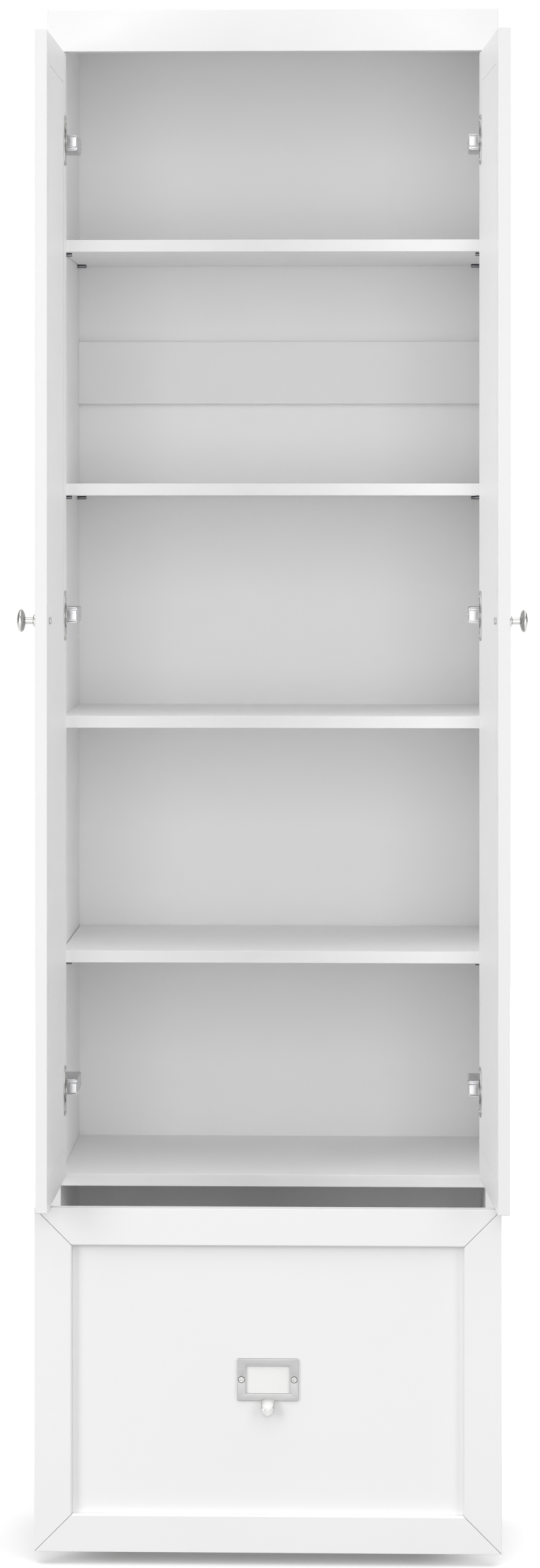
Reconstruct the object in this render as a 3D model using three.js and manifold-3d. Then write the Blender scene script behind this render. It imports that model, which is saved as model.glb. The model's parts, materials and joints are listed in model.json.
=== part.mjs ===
// Tall two-door apothecary cabinet: a board case with five compartments, two mitred doors on
// concealed hinges, and one deep drawer with a card-holder pull.
// Millimetres. +X right, +Y into the case, +Z up. The case is drawn with its front edges in the
// plane Y = 0, then moved so that the origin is the middle of the plinth's underside, on the floor.
// Rest pose: both doors open at about a right angle, and the drawer pulled out.
import * as THREE from 'three';
import { mergeVertices } from 'three/addons/utils/BufferGeometryUtils.js';
import Module from 'manifold-3d';

const wasm = await Module();
wasm.setup();

// ---- Driving dimensions ------------------------------------------------------------------------
const WIDTH = 600;
const HEIGHT = 2016;
const DEPTH = 346;              // case front edge to case back
const BOARD = 16;               // case boards and shelves
const BACK_THICK = 6;
const BACK_REBATE = 8;          // how far the back panel laps into each side panel
const FRONT_THICK = 18;         // fascia and drawer front
const FASCIA_HEIGHT = 56;
const REVEAL = 3;               // gap round the doors, and between them and the case front

const DECK_TOP = 459;           // floor of the door compartment, above the drawer bay
const BOTTOM_TOP = 76;          // floor of the drawer bay
const TOE_SETBACK = 30;
const SHELF_TOPS = [1710, 1383.5, 1072, 757.5];
const FIXED_SHELF = 2;          // index of the shelf joined to the side panels
const SHELF_SETBACK = 5;
const SHELF_CLEARANCE = 1;
const RAIL_LOW = 1498;
const RAIL_HIGH = 1586;

const DOOR_THICK = 15;
const DOOR_LOW = 458;
const DOOR_HIGH = 1957;
const STILE = 48;               // face width of every frame member
const MITRE_GAP = 0.5;          // open joint line where two members meet
const MEMBER_BEVEL = 1.5;
const PANEL_LAP = 6.5;          // how far a centre panel sits in its frame's rebate
const PANEL_FIT = 0.3;          // play round a panel held in a rebate or groove
const TURNED_FIT = 0.3;         // seating gap of fittings on the doors and the drawer front
const DOOR_PANEL_THICK = 6;
const DRAWER_PANEL_THICK = 8;

const DOOR_ANGLE = [90.3, 93.3];  // opening of the left and right door at rest, degrees
const PIVOT_X = 290;            // hinge line, from the middle of the case
const PIVOT_Y = -17;

const HINGE_Z = [1840, 1207.5, 575];
const HINGE_NAMES = ['top', 'middle', 'bottom'];
const CUP_RADIUS = 17.5;
const CUP_DEPTH = 11.5;
const CUP_WALL = 1.1;
const CUP_TO_EDGE = 22.5;       // cup centre to the door's hinge edge
const FLANGE_HEIGHT = 66;
const FLANGE_WIDTH = 28;
const FLANGE_THICK = 1.2;
const CUP_SCREW_Z = 26;         // flange screws, above and below the cup's centre
const ARM_HEIGHT = 21;
const ARM_STAND = 22;           // how far the arm stands off the side panel
const ARM_FRONT = -1;
const ARM_BACK = 76;
const TONGUE_HEIGHT = 13;
const TONGUE_FRONT = -11.5;
const TONGUE_WALL_SIDE = 11.4;  // tongue's near face, off the side panel
const NOSE_WALL_SIDE = 8.5;     // the same for the closed nose behind it
const PLATE_LOW_Y = 22;         // mounting plate on the side panel
const PLATE_HIGH_Y = 52;
const PLATE_HEIGHT = 52;
const PLATE_THICK = 3;
const PLATE_SCREW_Y = 37;
const PLATE_SCREW_Z = 18;

const KNOB_Z = 1207.5;
const KNOB_TO_EDGE = 35;
const KNOB_LENGTH = 25.5;
const KNOB_RADIUS = 14.25;

const PIN_RADIUS = 2.5;
const PIN_FIT = 0.15;
const PIN_HOLE_DEPTH = 9;
const PIN_REACH = 13;
const PIN_Y = [30, 300];

const DRAWER_LOW = 16;
const DRAWER_HIGH = 455.5;
const DRAWER_PULLED = 229;      // travel from closed to rest
const DRAWER_GAP = 0.5;         // closed drawer front to case front
const BOX_DEPTH = 320;
const BOX_SIDE = 12;
const BOX_LOW = 86;
const BOX_HIGH = 316;
const BOX_BOTTOM_THICK = 6;
const BOX_BOTTOM_Z = 96;
const GROOVE = 5;
const SLIDE_GAP = 12.7;         // side panel to drawer box
const SLIDE_Z = 150;
const SLIDE_LENGTH = 300;
const SLIDE_HALF = 17.5;
const SLIDE_INNER_HALF = 12;
const SLIDE_LIP = 2.4;
const SHEET = 1.2;              // folded steel of the slides

const LABEL_WIDTH = 78.4;
const LABEL_HEIGHT = 54.3;
const LABEL_THICK = 2.5;
const WINDOW_WIDTH = 56;
const WINDOW_HEIGHT = 34.7;
const LABEL_SCREW_SPACING = 67.4;
const PULL_ROOT = 4.2;          // pull's top edge, above the card holder's lower edge
const PULL_SLOPE = 12.7;        // height of its sloping part
const PULL_LIP = 9;             // height of the lip that hangs from the fold
const PULL_REACH = 15;
const PULL_THICK = 2.2;
const PULL_TOP_WIDTH = 18.3;
const PULL_FOLD_WIDTH = 14.4;
const PULL_LIP_WIDTH = 13.4;

// ---- Derived places ----------------------------------------------------------------------------
const HALF = WIDTH / 2;
const INNER = HALF - BOARD;
const BACK_Y = DEPTH - BACK_THICK;
const DOOR_OUTER = HALF - REVEAL / 2;
const DOOR_WIDTH = DOOR_OUTER - REVEAL / 2;
const DOOR_BACK_Y = -REVEAL;
const DOOR_MID_X = DOOR_OUTER - DOOR_WIDTH / 2;
const CUP_X = DOOR_OUTER - CUP_TO_EDGE;
const DRAWER_WIDTH = WIDTH - REVEAL;
const DRAWER_MID_Z = (DRAWER_LOW + DRAWER_HIGH) / 2;
const BOX_HALF = INNER - SLIDE_GAP;

// ---- Materials ---------------------------------------------------------------------------------
function material(colour, roughness, metalness) {
  return new THREE.MeshStandardMaterial({ color: colour, roughness, metalness });
}

const WHITE_PAINT = material(0xeceded, 0.5, 0);
const DOOR_PAINT = material(0xebebea, 0.48, 0);
const DRAWER_BOX_FOIL = material(0xe4e4e2, 0.6, 0);
const NICKEL = material(0xc9c9c7, 0.3, 1);
const DARK_STEEL = material(0x7c7c7e, 0.35, 1);
const ZINC_STEEL = material(0xa7a9ab, 0.42, 1);

// ---- Scene helpers -----------------------------------------------------------------------------
const cabinet = new THREE.Group();
cabinet.name = 'apothecary_cabinet';
cabinet.position.y = -(TOE_SETBACK + BOARD / 2);

function addMesh(parent, name, geometry, finish) {
  const mesh = new THREE.Mesh(geometry, finish);
  mesh.name = name;
  parent.add(mesh);
  return mesh;
}

// A box given by its lowest and highest corner.
function block(low, high) {
  const size = high.map((value, axis) => value - low[axis]);
  const middle = high.map((value, axis) => (value + low[axis]) / 2);
  return new THREE.BoxGeometry(...size).translate(...middle);
}

function shapeOf(points) {
  return new THREE.Shape(points.map(([x, y]) => new THREE.Vector2(x, y)));
}

function extrude(shape, depth) {
  return new THREE.ExtrudeGeometry(shape, { depth, bevelEnabled: false, curveSegments: 6 });
}

// A section drawn in X and Z, run along +Y from y = start.
function extrudeAlongY(shape, start, length) {
  return extrude(shape, length).rotateX(Math.PI / 2).translate(0, start + length, 0);
}

// A section drawn in Y and Z, run along +X from x = start.
function extrudeAlongX(shape, start, length) {
  const turn = new THREE.Matrix4().makeBasis(
    new THREE.Vector3(0, 1, 0),
    new THREE.Vector3(0, 0, 1),
    new THREE.Vector3(1, 0, 0),
  );
  return extrude(shape, length).applyMatrix4(turn).translate(start, 0, 0);
}

function cylinderAlongX(radius, start, end, segments = 24) {
  return new THREE.CylinderGeometry(radius, radius, end - start, segments)
    .rotateZ(Math.PI / 2)
    .translate((start + end) / 2, 0, 0);
}

function cylinderAlongY(radius, start, end, segments = 24) {
  return new THREE.CylinderGeometry(radius, radius, end - start, segments)
    .translate(0, (start + end) / 2, 0);
}

// ---- Boolean helpers ---------------------------------------------------------------------------
function toSolid(geometry) {
  const plain = geometry.clone();
  plain.deleteAttribute('normal');
  plain.deleteAttribute('uv');
  const merged = mergeVertices(plain, 1e-4);
  return new wasm.Manifold(new wasm.Mesh({
    numProp: 3,
    vertProperties: new Float32Array(merged.attributes.position.array),
    triVerts: new Uint32Array(merged.index.array),
  }));
}

function toGeometry(solid) {
  const mesh = solid.getMesh();
  const geometry = new THREE.BufferGeometry();
  geometry.setAttribute('position', new THREE.BufferAttribute(mesh.vertProperties, 3));
  geometry.setIndex(new THREE.BufferAttribute(mesh.triVerts, 1));
  geometry.computeVertexNormals();
  return geometry;
}

function join(...geometries) {
  const solids = geometries.map(toSolid);
  return toGeometry(solids.reduce((whole, next) => whole.add(next)));
}

function cut(geometry, ...tools) {
  const solids = tools.map(toSolid);
  return toGeometry(solids.reduce((left, tool) => left.subtract(tool), toSolid(geometry)));
}

function keepInside(geometry, tool) {
  return toGeometry(toSolid(geometry).intersect(toSolid(tool)));
}

// The mirror image across the X = 0 plane, with its faces still pointing out.
function mirrorX(geometry) {
  const mirrored = geometry.clone().scale(-1, 1, 1);
  const index = mirrored.getIndex();
  for (let i = 0; i < index.count; i += 3) {
    const first = index.getX(i);
    index.setX(i, index.getX(i + 2));
    index.setX(i + 2, first);
  }
  mirrored.computeVertexNormals();
  return mirrored;
}

// ---- Case --------------------------------------------------------------------------------------
const pinnedShelves = SHELF_TOPS.filter((top, index) => index !== FIXED_SHELF);

function pinHoles(side) {
  const start = side > 0 ? INNER - 1 : -INNER - PIN_HOLE_DEPTH;
  const holes = [];
  for (const top of pinnedShelves) {
    for (const y of PIN_Y) {
      const hole = cylinderAlongX(PIN_RADIUS + PIN_FIT, start, start + PIN_HOLE_DEPTH + 1, 16);
      holes.push(hole.translate(0, y, top - BOARD - PIN_RADIUS));
    }
  }
  return holes;
}

function sidePanel(side) {
  const inside = side * INNER;
  const outside = side * HALF;
  const lapped = side * (INNER + BACK_REBATE);
  const outline = [
    [outside, 0],
    [inside, 0],
    [inside, BACK_Y],
    [lapped, BACK_Y],
    [lapped, DEPTH],
    [outside, DEPTH],
  ];
  const board = extrude(shapeOf(outline), HEIGHT - BOARD);
  return cut(board, ...pinHoles(side));
}

function topPanel() {
  const board = block([-HALF, 0, HEIGHT - BOARD], [HALF, DEPTH, HEIGHT]);
  const rebate = block(
    [-INNER - BACK_REBATE, BACK_Y, HEIGHT - BOARD - 1],
    [INNER + BACK_REBATE, DEPTH + 1, HEIGHT - BOARD + BACK_REBATE],
  );
  return cut(board, rebate);
}

function backPanel() {
  const edge = INNER + BACK_REBATE - PANEL_FIT;
  return block([-edge, BACK_Y, 1], [edge, DEPTH, HEIGHT - BOARD + BACK_REBATE - PANEL_FIT]);
}

function fixedBoard(top) {
  return block([-INNER, 0, top - BOARD], [INNER, BACK_Y, top]);
}

function shelf(top, index) {
  const play = index === FIXED_SHELF ? 0 : SHELF_CLEARANCE;
  return block([-INNER + play, SHELF_SETBACK, top - BOARD], [INNER - play, BACK_Y - play, top]);
}

// A shelf support: a shank in the side panel and a round-nosed peg under the shelf.
function shelfPin(side) {
  const nose = 1.2;
  const profile = [
    [0, -PIN_HOLE_DEPTH + 1],
    [PIN_RADIUS - 0.4, -PIN_HOLE_DEPTH + 1],
    [PIN_RADIUS, -PIN_HOLE_DEPTH + 1.6],
    [PIN_RADIUS, PIN_REACH - nose],
    [PIN_RADIUS - nose / 2, PIN_REACH - nose / 4],
    [0, PIN_REACH],
  ];
  const outline = profile.map(([radius, along]) => new THREE.Vector2(radius, along));
  return new THREE.LatheGeometry(outline, 16).rotateZ(side * Math.PI / 2).translate(side * INNER, 0, 0);
}

function addCase() {
  addMesh(cabinet, 'side_panel_left', sidePanel(-1), WHITE_PAINT);
  addMesh(cabinet, 'side_panel_right', sidePanel(1), WHITE_PAINT);
  addMesh(cabinet, 'top_panel', topPanel(), WHITE_PAINT);
  addMesh(cabinet, 'back_panel', backPanel(), WHITE_PAINT);
  addMesh(cabinet, 'deck', fixedBoard(DECK_TOP), WHITE_PAINT);
  addMesh(cabinet, 'bottom_panel', fixedBoard(BOTTOM_TOP), WHITE_PAINT);
  const fascia = block([-HALF, -FRONT_THICK, HEIGHT - FASCIA_HEIGHT], [HALF, 0, HEIGHT]);
  addMesh(cabinet, 'fascia', fascia, WHITE_PAINT);
  const toe = block([-INNER, TOE_SETBACK, 0], [INNER, TOE_SETBACK + BOARD, BOTTOM_TOP - BOARD]);
  addMesh(cabinet, 'toe_kick', toe, WHITE_PAINT);
  const rail = block([-INNER, BACK_Y - BOARD, RAIL_LOW], [INNER, BACK_Y, RAIL_HIGH]);
  addMesh(cabinet, 'back_rail', rail, WHITE_PAINT);
  SHELF_TOPS.forEach((top, index) => {
    addMesh(cabinet, `shelf_${index + 1}`, shelf(top, index), WHITE_PAINT);
  });
}

function addShelfPins() {
  SHELF_TOPS.slice(0, FIXED_SHELF).forEach((top, index) => {
    for (const [sideName, side] of [['left', -1], ['right', 1]]) {
      for (const [endName, y] of [['front', PIN_Y[0]], ['rear', PIN_Y[1]]]) {
        const name = `shelf_pin_${index + 1}_${endName}_${sideName}`;
        const pin = addMesh(cabinet, name, shelfPin(side), DARK_STEEL);
        pin.position.set(0, y, top - BOARD - PIN_RADIUS);
      }
    }
  });
}

// ---- Frame-and-panel fronts --------------------------------------------------------------------
// Section of a frame member: X runs from the outer edge inwards, Y from the rear face forwards.
function memberSection(thick, panelThick) {
  const rebate = STILE - PANEL_LAP - PANEL_FIT;
  return shapeOf([
    [0, 0],
    [rebate, 0],
    [rebate, panelThick + PANEL_FIT],
    [STILE, panelThick + PANEL_FIT],
    [STILE, thick - MEMBER_BEVEL],
    [STILE - MEMBER_BEVEL, thick],
    [0, thick],
  ]);
}

// A member of the given outside length, centred on its length, both ends cut at 45 degrees.
function mitredMember(length, thick, panelThick) {
  const geometry = extrude(memberSection(thick, panelThick), length).translate(0, 0, -length / 2);
  const position = geometry.attributes.position;
  for (let i = 0; i < position.count; i += 1) {
    const shortening = position.getX(i) + MITRE_GAP / Math.SQRT2;
    const z = position.getZ(i);
    position.setZ(i, z - Math.sign(z) * shortening);
  }
  geometry.computeVertexNormals();
  return geometry;
}

// Turns a member so that its inward side faces (x, 0, z) and its front faces -Y.
function placeMember(geometry, inward, outerEdge) {
  const across = new THREE.Vector3(inward[0], 0, inward[1]);
  const forward = new THREE.Vector3(0, -1, 0);
  const along = new THREE.Vector3().crossVectors(across, forward);
  const place = new THREE.Matrix4().makeBasis(across, forward, along);
  place.setPosition(outerEdge[0], 0, outerEdge[1]);
  return geometry.applyMatrix4(place);
}

// The four members and the panel of a front centred on X = 0, Z = 0 with its rear face at Y = 0.
function frontPieces(width, height, thick, panelThick) {
  const stile = () => mitredMember(height, thick, panelThick);
  const rail = () => mitredMember(width, thick, panelThick);
  const panelHalfWidth = width / 2 - STILE + PANEL_LAP;
  const panelHalfHeight = height / 2 - STILE + PANEL_LAP;
  return {
    stileLow: placeMember(stile(), [1, 0], [-width / 2, 0]),
    stileHigh: placeMember(stile(), [-1, 0], [width / 2, 0]),
    bottomRail: placeMember(rail(), [0, 1], [0, -height / 2]),
    topRail: placeMember(rail(), [0, -1], [0, height / 2]),
    panel: block(
      [-panelHalfWidth, -panelThick, -panelHalfHeight],
      [panelHalfWidth, 0, panelHalfHeight],
    ),
  };
}

// ---- Concealed hinges --------------------------------------------------------------------------
function roundedRectangle(width, height, radius) {
  const x = width / 2;
  const y = height / 2;
  const shape = new THREE.Shape();
  shape.absarc(x - radius, y - radius, radius, 0, Math.PI / 2, false);
  shape.absarc(-x + radius, y - radius, radius, Math.PI / 2, Math.PI, false);
  shape.absarc(-x + radius, -y + radius, radius, Math.PI, Math.PI * 1.5, false);
  shape.absarc(x - radius, -y + radius, radius, Math.PI * 1.5, Math.PI * 2, false);
  return shape;
}

// The cup and its flange, with the cup's axis on the Y axis and the door's rear face at Y = 0.
function hingeCup() {
  const flangeLow = TURNED_FIT;
  const flangeHigh = TURNED_FIT + FLANGE_THICK;
  const outline = roundedRectangle(FLANGE_WIDTH, FLANGE_HEIGHT, 9);
  const flange = extrudeAlongY(outline, flangeLow, FLANGE_THICK);
  const cup = cylinderAlongY(CUP_RADIUS, -CUP_DEPTH, 0, 40);
  const neckHalf = FLANGE_WIDTH / 2 - 0.2;
  const neck = toSolid(cylinderAlongY(CUP_RADIUS - 0.2, -2, flangeHigh - 0.2, 40))
    .intersect(toSolid(block([-neckHalf, -3, -CUP_RADIUS], [neckHalf, flangeHigh, CUP_RADIUS])));
  const hollow = cylinderAlongY(CUP_RADIUS - CUP_WALL, -CUP_DEPTH + CUP_WALL, flangeHigh + 1, 40);
  const screwHoles = [-1, 1].map((end) => {
    const hole = cylinderAlongY(2.4, -1, flangeHigh + 1, 16);
    return hole.translate(0, 0, end * CUP_SCREW_Z);
  });
  return cut(join(flange, cup, toGeometry(neck)), hollow, ...screwHoles);
}

// The arm on the side panel, drawn for the right side and mirrored for the left, with the hinge's middle at Z = 0.
function hingeArm(side) {
  const sheet = 1.6;
  const face = INNER - ARM_STAND;
  const high = ARM_HEIGHT / 2;
  const channel = shapeOf([
    [face, -high],
    [INNER - PLATE_THICK + 1, -high],
    [INNER - PLATE_THICK + 1, -high + sheet],
    [face + sheet, -high + sheet],
    [face + sheet, high - sheet],
    [INNER - PLATE_THICK + 1, high - sheet],
    [INNER - PLATE_THICK + 1, high],
    [face, high],
  ]);
  const walls = extrudeAlongY(channel, ARM_FRONT, ARM_BACK - ARM_FRONT);
  const nose = block([face, ARM_FRONT, -high], [INNER - NOSE_WALL_SIDE, ARM_FRONT + 2, high]);
  const tongue = block(
    [face, TONGUE_FRONT, -TONGUE_HEIGHT / 2],
    [INNER - TONGUE_WALL_SIDE, ARM_FRONT + 1, TONGUE_HEIGHT / 2],
  );
  const plateLength = PLATE_HIGH_Y - PLATE_LOW_Y;
  const plate = extrude(roundedRectangle(plateLength, PLATE_HEIGHT, 5), PLATE_THICK)
    .applyMatrix4(new THREE.Matrix4().makeBasis(
      new THREE.Vector3(0, 1, 0),
      new THREE.Vector3(0, 0, 1),
      new THREE.Vector3(1, 0, 0),
    ))
    .translate(INNER - PLATE_THICK, (PLATE_LOW_Y + PLATE_HIGH_Y) / 2, 0);
  const screwHoles = [-1, 1].map((end) => {
    const hole = cylinderAlongX(2.4, INNER - PLATE_THICK - 1, INNER + 1, 16);
    return hole.translate(0, PLATE_SCREW_Y, end * PLATE_SCREW_Z);
  });
  const arm = cut(join(walls, nose, tongue, plate), ...screwHoles);
  return side > 0 ? arm : mirrorX(arm);
}

function addHingeArms() {
  const sides = [['left', -1], ['right', 1]];
  for (const [sideName, side] of sides) {
    HINGE_Z.forEach((z, index) => {
      const name = `hinge_arm_${sideName}_${HINGE_NAMES[index]}`;
      addMesh(cabinet, name, hingeArm(side), ZINC_STEEL).position.z = z;
    });
  }
}

// ---- Doors -------------------------------------------------------------------------------------
// A mushroom knob on a domed foot, its axis on -Y and its foot at Y = 0, with a stud behind.
function knob() {
  const stud = 2;
  const studLength = 8;
  const stem = 4.3;
  const foot = 7.8;
  const collar = 2.5;
  const rimAt = 20.8;
  const lensBack = 15.3;
  const outline = [
    [0, -studLength],
    [stud, -studLength],
    [stud, 0],
    [foot, 0],
    [foot, collar + 1.2],
    [foot - 1.4, collar + 2.4],
    [stem, collar + 3.3],
    [stem, lensBack],
  ];
  const steps = 8;
  for (let i = 1; i < steps; i += 1) {
    const rise = i / steps;
    outline.push([
      stem + (KNOB_RADIUS - stem) * Math.sin(rise * Math.PI / 2),
      lensBack + (rimAt - lensBack) * (0.35 * rise + 0.65 * rise ** 2),
    ]);
  }
  for (let i = 0; i <= steps; i += 1) {
    const angle = i / steps * Math.PI / 2;
    outline.push([
      KNOB_RADIUS * Math.cos(angle),
      rimAt + (KNOB_LENGTH - rimAt) * Math.sin(angle),
    ]);
  }
  outline[outline.length - 1][0] = 0;
  const profile = outline.map(([radius, along]) => new THREE.Vector2(radius, along));
  return new THREE.LatheGeometry(profile, 40).rotateX(Math.PI);
}

function addDoor(sideName, side, angle) {
  const pivot = new THREE.Group();
  pivot.name = `door_pivot_${sideName}`;
  pivot.position.set(side * PIVOT_X, PIVOT_Y, 0);
  pivot.rotation.z = side * THREE.MathUtils.degToRad(angle);
  cabinet.add(pivot);
  const door = new THREE.Group();
  door.position.set(-side * PIVOT_X, -PIVOT_Y + DOOR_BACK_Y, 0);
  pivot.add(door);

  const pieces = frontPieces(DOOR_WIDTH, DOOR_HIGH - DOOR_LOW, DOOR_THICK, DOOR_PANEL_THICK);
  const hingeSide = side > 0 ? pieces.stileHigh : pieces.stileLow;
  const freeSide = side > 0 ? pieces.stileLow : pieces.stileHigh;
  const middleZ = (DOOR_LOW + DOOR_HIGH) / 2;
  const cupBores = HINGE_Z.map((z) => (
    cylinderAlongY(CUP_RADIUS + TURNED_FIT, -CUP_DEPTH - TURNED_FIT, 1, 40)
      .translate(side * (CUP_X - DOOR_MID_X), 0, z - middleZ)
  ));
  const knobOffset = side * (REVEAL / 2 + KNOB_TO_EDGE - DOOR_MID_X);
  const knobHole = cylinderAlongY(2.5, -DOOR_THICK - 1, 1, 16).translate(knobOffset, 0, KNOB_Z - middleZ);
  const named = {
    hinge_stile: cut(hingeSide, ...cupBores),
    free_stile: cut(freeSide, knobHole),
    top_rail: pieces.topRail,
    bottom_rail: pieces.bottomRail,
    panel: pieces.panel,
  };
  for (const [pieceName, geometry] of Object.entries(named)) {
    const mesh = addMesh(door, `door_${sideName}_${pieceName}`, geometry, DOOR_PAINT);
    mesh.position.set(side * DOOR_MID_X, 0, middleZ);
  }
  const doorKnob = addMesh(door, `door_${sideName}_knob`, knob(), NICKEL);
  doorKnob.position.set(side * (REVEAL / 2 + KNOB_TO_EDGE), -DOOR_THICK - TURNED_FIT, KNOB_Z);
  HINGE_Z.forEach((z, index) => {
    const cup = addMesh(door, `hinge_cup_${sideName}_${HINGE_NAMES[index]}`, hingeCup(), NICKEL);
    cup.position.set(side * CUP_X, 0, z);
  });
}

// ---- Drawer ------------------------------------------------------------------------------------
function slideSection(side, wall, half, open) {
  // Channel: web at X = wall, flanges running to X = open, each flange's lip turned inwards.
  const into = Math.sign(open - wall);
  const lip = SLIDE_LIP;
  const points = [
    [wall, -half],
    [open, -half],
    [open, -half + SHEET + lip],
    [open - into * SHEET, -half + SHEET + lip],
    [open - into * SHEET, -half + SHEET],
    [wall + into * SHEET, -half + SHEET],
    [wall + into * SHEET, half - SHEET],
    [open - into * SHEET, half - SHEET],
    [open - into * SHEET, half - SHEET - lip],
    [open, half - SHEET - lip],
    [open, half],
    [wall, half],
  ];
  return shapeOf(points.map(([x, z]) => [side * x, z]));
}

function slideMember(side, wall, half, open) {
  return extrudeAlongY(slideSection(side, wall, half, open), 2, SLIDE_LENGTH);
}

function addCaseSlides() {
  for (const [sideName, side] of [['left', -1], ['right', 1]]) {
    const geometry = slideMember(side, INNER, SLIDE_HALF, INNER - 10);
    addMesh(cabinet, `slide_case_${sideName}`, geometry, ZINC_STEEL).position.z = SLIDE_Z;
  }
}

function boxSideSection(side) {
  const inner = BOX_HALF - BOX_SIDE;
  const points = [
    [BOX_HALF, BOX_LOW],
    [BOX_HALF, BOX_HIGH],
    [inner, BOX_HIGH],
    [inner, BOX_BOTTOM_Z + BOX_BOTTOM_THICK + PANEL_FIT],
    [inner + GROOVE, BOX_BOTTOM_Z + BOX_BOTTOM_THICK + PANEL_FIT],
    [inner + GROOVE, BOX_BOTTOM_Z],
    [inner, BOX_BOTTOM_Z],
    [inner, BOX_LOW],
  ];
  return shapeOf(points.map(([x, z]) => [side * x, z]));
}

function boxFrontSection(face) {
  const back = face + BOX_SIDE;
  return shapeOf([
    [face, BOX_LOW],
    [back, BOX_LOW],
    [back, BOX_BOTTOM_Z],
    [back - GROOVE, BOX_BOTTOM_Z],
    [back - GROOVE, BOX_BOTTOM_Z + BOX_BOTTOM_THICK + PANEL_FIT],
    [back, BOX_BOTTOM_Z + BOX_BOTTOM_THICK + PANEL_FIT],
    [back, BOX_HIGH],
    [face, BOX_HIGH],
  ]);
}

// Finger pull: a strap that slopes out and down to a fold, then hangs as a lip with a round end.
function fingerPull() {
  const top = -LABEL_HEIGHT / 2 + PULL_ROOT;
  const fold = top - PULL_SLOPE;
  const tip = fold - PULL_LIP;
  const front = -PULL_REACH;
  const side = shapeOf([
    [-1, top],
    [front, fold],
    [front, tip],
    [front + PULL_THICK, tip],
    [front + PULL_THICK, fold - 1.2],
    [-1, top - 3.2],
  ]);
  const strap = extrudeAlongX(side, -PULL_TOP_WIDTH / 2 - 1, PULL_TOP_WIDTH + 2);
  const round = PULL_LIP_WIDTH / 2;
  const face = new THREE.Shape();
  face.moveTo(PULL_TOP_WIDTH / 2, top + 0.5);
  face.lineTo(-PULL_TOP_WIDTH / 2, top + 0.5);
  face.lineTo(-PULL_FOLD_WIDTH / 2, fold);
  face.absarc(0, tip + round, round, Math.PI, 2 * Math.PI, false);
  face.lineTo(PULL_FOLD_WIDTH / 2, fold);
  return keepInside(strap, extrudeAlongY(face, front - 1, PULL_REACH + 1));
}

// Card holder and pull in one casting, its rear face at Y = 0 and its middle at X = 0, Z = 0.
function labelPull() {
  const outline = roundedRectangle(LABEL_WIDTH, LABEL_HEIGHT, 2.5);
  const plate = extrudeAlongY(outline, -LABEL_THICK, LABEL_THICK);
  const windowOpening = block(
    [-WINDOW_WIDTH / 2, -LABEL_THICK - 1, -WINDOW_HEIGHT / 2],
    [WINDOW_WIDTH / 2, 1, WINDOW_HEIGHT / 2],
  );
  const screwHoles = [-1, 1].map((end) => (
    cylinderAlongY(1.7, -LABEL_THICK - 1, 1, 16).translate(end * LABEL_SCREW_SPACING / 2, 0, 0)
  ));
  return cut(join(plate, fingerPull()), windowOpening, ...screwHoles);
}

function addDrawerFront(drawer) {
  const height = DRAWER_HIGH - DRAWER_LOW;
  const pieces = frontPieces(DRAWER_WIDTH, height, FRONT_THICK, DRAWER_PANEL_THICK);
  const named = {
    left_stile: pieces.stileLow,
    right_stile: pieces.stileHigh,
    top_rail: pieces.topRail,
    bottom_rail: pieces.bottomRail,
    panel: pieces.panel,
  };
  for (const [pieceName, geometry] of Object.entries(named)) {
    const mesh = addMesh(drawer, `drawer_${pieceName}`, geometry, WHITE_PAINT);
    mesh.position.set(0, -DRAWER_GAP, DRAWER_MID_Z);
  }
  const pull = addMesh(drawer, 'drawer_label_pull', labelPull(), NICKEL);
  pull.position.set(0, -DRAWER_GAP - DRAWER_PANEL_THICK - TURNED_FIT, DRAWER_MID_Z);
}

function addDrawerBox(drawer) {
  const start = -DRAWER_GAP;
  const inner = BOX_HALF - BOX_SIDE;
  for (const [sideName, side] of [['left', -1], ['right', 1]]) {
    const boxSide = extrudeAlongY(boxSideSection(side), start, BOX_DEPTH);
    addMesh(drawer, `drawer_box_${sideName}_side`, boxSide, DRAWER_BOX_FOIL);
    const slide = slideMember(side, BOX_HALF, SLIDE_INNER_HALF, BOX_HALF + 9.5);
    addMesh(drawer, `slide_drawer_${sideName}`, slide, ZINC_STEEL).position.z = SLIDE_Z;
  }
  const boxFront = extrudeAlongX(boxFrontSection(start), -inner, inner * 2);
  addMesh(drawer, 'drawer_box_front', boxFront, DRAWER_BOX_FOIL);
  const backHigh = start + BOX_DEPTH;
  const boxBack = block(
    [-inner, backHigh - BOX_SIDE, BOX_BOTTOM_Z + BOX_BOTTOM_THICK + PANEL_FIT],
    [inner, backHigh, BOX_HIGH],
  );
  addMesh(drawer, 'drawer_box_back', boxBack, DRAWER_BOX_FOIL);
  const edge = inner + GROOVE - PANEL_FIT;
  const boxBottom = block(
    [-edge, start + BOX_SIDE - GROOVE + PANEL_FIT, BOX_BOTTOM_Z + PANEL_FIT / 2],
    [edge, backHigh, BOX_BOTTOM_Z + PANEL_FIT / 2 + BOX_BOTTOM_THICK],
  );
  addMesh(drawer, 'drawer_box_bottom', boxBottom, DRAWER_BOX_FOIL);
}

function addDrawer() {
  const drawer = new THREE.Group();
  drawer.name = 'drawer';
  drawer.position.y = -DRAWER_PULLED;
  cabinet.add(drawer);
  addDrawerFront(drawer);
  addDrawerBox(drawer);
}

// ---- Assembly ----------------------------------------------------------------------------------
addCase();
addShelfPins();
addHingeArms();
addCaseSlides();
addDoor('left', -1, DOOR_ANGLE[0]);
addDoor('right', 1, DOOR_ANGLE[1]);
addDrawer();

export default cabinet;
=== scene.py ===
"""The look of the apothecary cabinet: white lacquered boards, satin nickel fittings, soft studio light.

Metres. +X right, +Y into the case, +Z up, as in the CAD frame. The CAD boards stay and get rounded
edges and lacquer; the small metal fittings are replaced by finer pieces of the same size and place.
"""

import json
import math

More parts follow.
